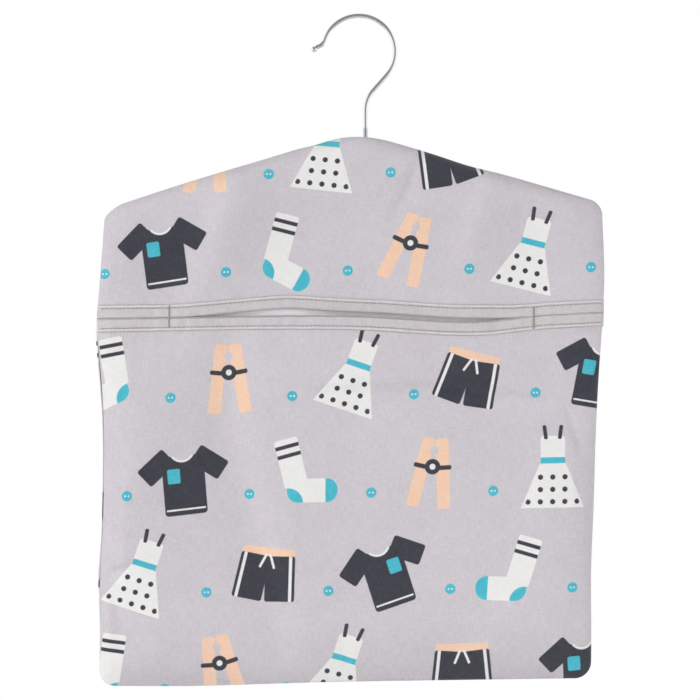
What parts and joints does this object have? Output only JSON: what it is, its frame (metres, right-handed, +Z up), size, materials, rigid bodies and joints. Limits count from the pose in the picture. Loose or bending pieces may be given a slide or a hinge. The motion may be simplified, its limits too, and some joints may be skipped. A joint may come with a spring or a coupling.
{
  "type": "peg bag",
  "caption": "Cotton peg bag on a wooden coat hanger with a swivelling wire hook; pegs go in through a stitched slit across its front.",
  "frame": {"origin": "inside of the hook's crown, where the washing line sits", "axes": "+Z up along the hook's stem, +X to the right as seen from the front, and the mouth faces -Y"},
  "size_m": [0.3353, 0.0274, 0.4433],
  "materials": {
    "plated_wire": "bright plated steel wire",
    "washer_steel": "zinc-plated steel",
    "bar_wood": "smooth unvarnished beech",
    "printed_cotton": "grey printed cotton in plain weave, white on the reverse",
    "band_cotton": "plain grey cotton, folded double",
    "raw_cotton": "unprinted reverse of the cotton, overlocked",
    "thread": "grey sewing thread"
  },
  "bodies": {
    "hook": {"hook_wire": "plated_wire", "hook_washer": "washer_steel"},
    "bag": {"hanger_bar": "bar_wood", "back_panel": "printed_cotton", "front_upper_panel": "printed_cotton", "upper_mouth_band": "band_cotton", "upper_band_stitching": "thread", "side_seam_left": "raw_cotton", "side_seam_right": "raw_cotton", "bottom_seam": "raw_cotton", "shoulder_seam_left": "raw_cotton", "shoulder_seam_right": "raw_cotton"},
    "front_panel": {"front_lower_panel": "printed_cotton", "lower_mouth_band": "band_cotton", "lower_band_stitching": "thread", "bar_tack_left": "thread", "bar_tack_right": "thread"}
  },
  "joints": [
    {"name": "hook_swivel", "type": "hinge", "parent": "hook", "child": "bag", "pos_m": [0.0046, 0, -0.09], "axis": [0, 0, 1], "continuous": true},
    {"name": "mouth_gape", "type": "hinge", "parent": "bag", "child": "front_panel", "pos_m": [-0.0088, 0, -0.4386], "axis": [0.9999, 0, 0.014], "range_deg": [0, 9], "stiffness_Nm_per_rad": 1.5}
  ]
}
